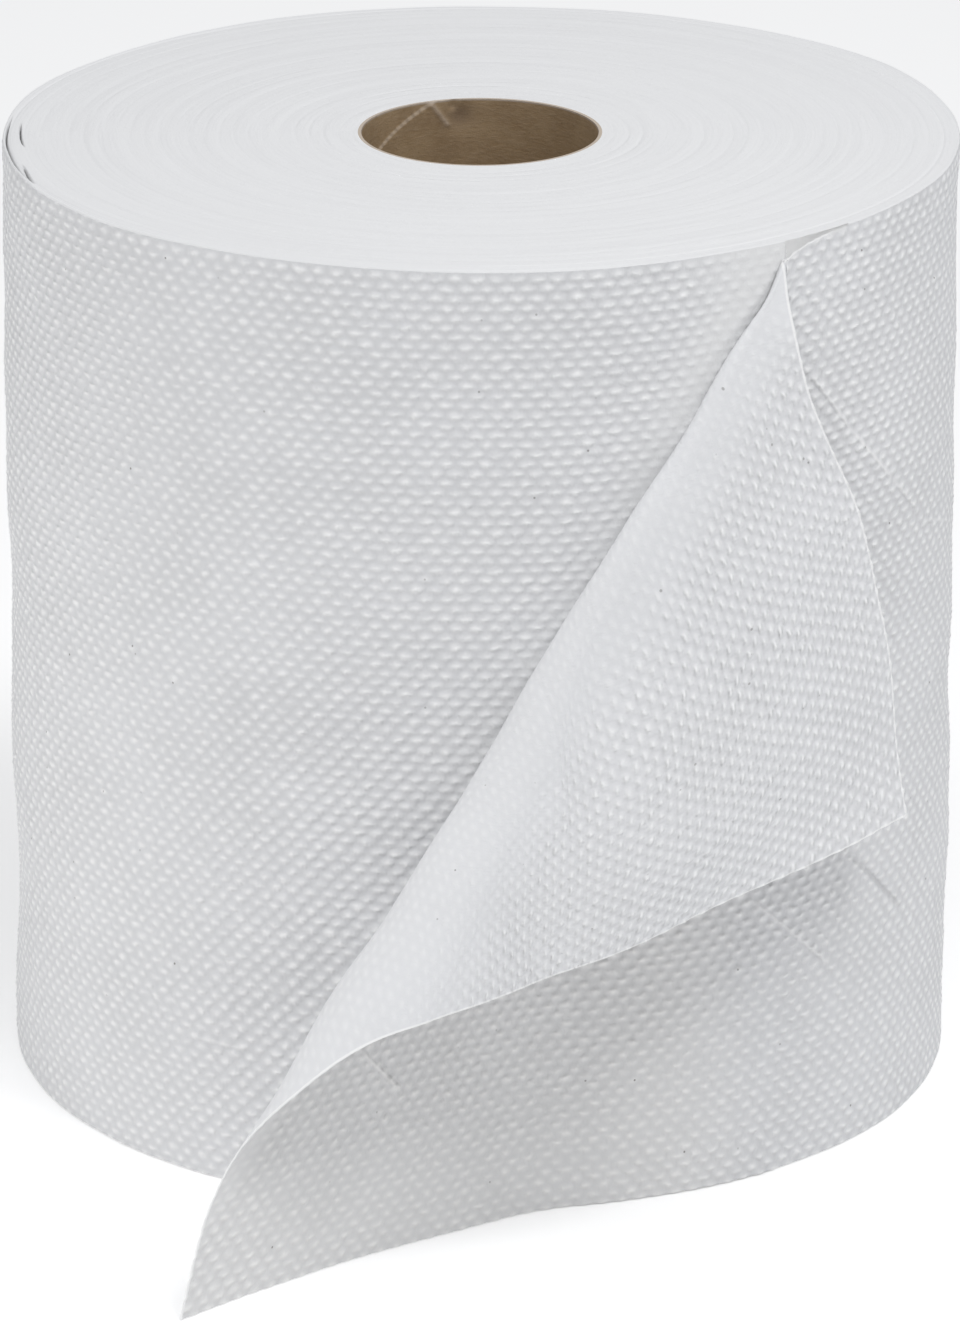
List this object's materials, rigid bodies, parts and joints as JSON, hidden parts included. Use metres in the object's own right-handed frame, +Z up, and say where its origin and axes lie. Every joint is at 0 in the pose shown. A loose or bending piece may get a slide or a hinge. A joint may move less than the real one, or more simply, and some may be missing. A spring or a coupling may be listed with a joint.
{
  "type": "paper towel roll",
  "caption": "Large hardwound paper towel roll standing on end on a cardboard core, with its loose outer end pulled off and the upper corner folded over.",
  "frame": {"origin": "centre of the core's bore, in the plane that the roll stands on", "axes": "+Z up along the core's axis; the loose end is at the front, -Y; +X to the right"},
  "size_m": [0.1976, 0.2526, 0.2],
  "materials": {
    "kraft_board": "matt",
    "embossed_paper": "matt"
  },
  "bodies": {
    "root": {"core": "kraft_board", "towel": "embossed_paper"}
  },
  "joints": []
}
